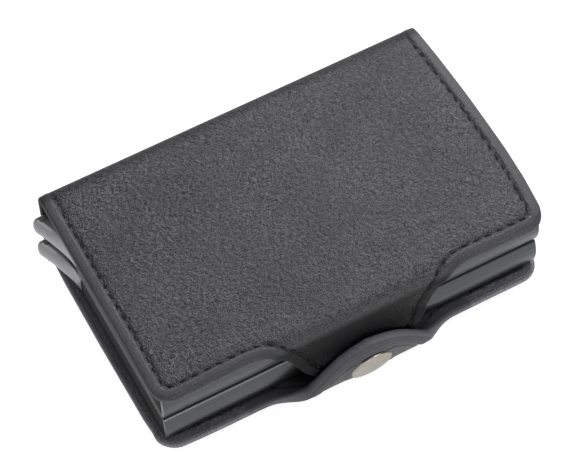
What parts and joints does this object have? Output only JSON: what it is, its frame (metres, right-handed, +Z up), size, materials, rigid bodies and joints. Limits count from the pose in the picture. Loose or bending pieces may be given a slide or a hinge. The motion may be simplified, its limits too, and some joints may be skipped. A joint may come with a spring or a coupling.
{
  "type": "pop up card holder",
  "caption": "Folding leather card holder with two flat aluminium pop-up card cases inside, side levers and a snap tab.",
  "frame": {"origin": "middle of the lower cover's underside, on the surface that the shut holder lies on", "axes": "+X towards the end where the cards come out, +Y towards the spine, +Z up out of the lower cover"},
  "size_m": [0.1008, 0.0675, 0.025],
  "materials": {
    "leather": "fine pebbled polyurethane leather, satin, charcoal black",
    "lining": "black woven-backed lining, matt",
    "board": "pressed fibre stiffener board",
    "aluminium": "anodised gunmetal, satin",
    "black_plastic": "moulded black, satin",
    "grey_plastic": "moulded grey, satin",
    "steel": "turned, bright",
    "nickel": "pressed brass, satin nickel plate",
    "felt": "dense black felt",
    "glue_pad": "double-sided foam tape"
  },
  "bodies": {
    "lower_cover": {"lower_cover_leather": "leather", "lower_board": "board", "lower_lining": "lining", "lower_glue_pad": "glue_pad", "lower_case_shell": "aluminium", "lower_end_plug": "black_plastic", "lower_pivot_pin": "steel", "lower_friction_strip_front": "felt", "lower_friction_strip_rear": "felt"},
    "spine": {"spine_leather": "leather", "spine_lining": "lining"},
    "upper_cover": {"upper_cover_leather": "leather", "upper_board": "board", "upper_lining": "lining", "upper_glue_pad": "glue_pad", "upper_case_shell": "aluminium", "upper_end_plug": "black_plastic", "upper_pivot_pin": "steel", "upper_friction_strip_front": "felt", "upper_friction_strip_rear": "felt", "snap_stud": "nickel", "snap_post": "steel"},
    "closure_tab": {"closure_tab_leather": "leather", "closure_tab_lining": "lining", "snap_socket": "nickel", "snap_cap": "nickel"},
    "lower_lever": {"lower_lever": "grey_plastic"},
    "upper_lever": {"upper_lever": "grey_plastic"}
  },
  "joints": [
    {"name": "spine_lower_fold", "type": "hinge", "parent": "lower_cover", "child": "spine", "pos_m": [0, 0.0295, 0.0011], "axis": [-1, 0, 0], "range_deg": [0, 90]},
    {"name": "spine_upper_fold", "type": "hinge", "parent": "spine", "child": "upper_cover", "pos_m": [0, 0.0295, 0.0239], "axis": [-1, 0, 0], "range_deg": [0, 90]},
    {"name": "tab_fold", "type": "hinge", "parent": "lower_cover", "child": "closure_tab", "pos_m": [0.0011, -0.0312, 0.0011], "axis": [1, 0, 0], "range_deg": [0, 90]},
    {"name": "lower_lever_pivot", "type": "hinge", "parent": "lower_cover", "child": "lower_lever", "pos_m": [-0.0435, -0.0246, 0.0075], "axis": [0, 0, -1], "range_deg": [0, 17]},
    {"name": "upper_lever_pivot", "type": "hinge", "parent": "upper_cover", "child": "upper_lever", "pos_m": [-0.0435, -0.0246, 0.0175], "axis": [0, 0, -1], "range_deg": [0, 17]}
  ],
  "couplings": [
    {"joint": "spine_lower_fold", "follows": "spine_upper_fold", "ratio": 1}
  ]
}
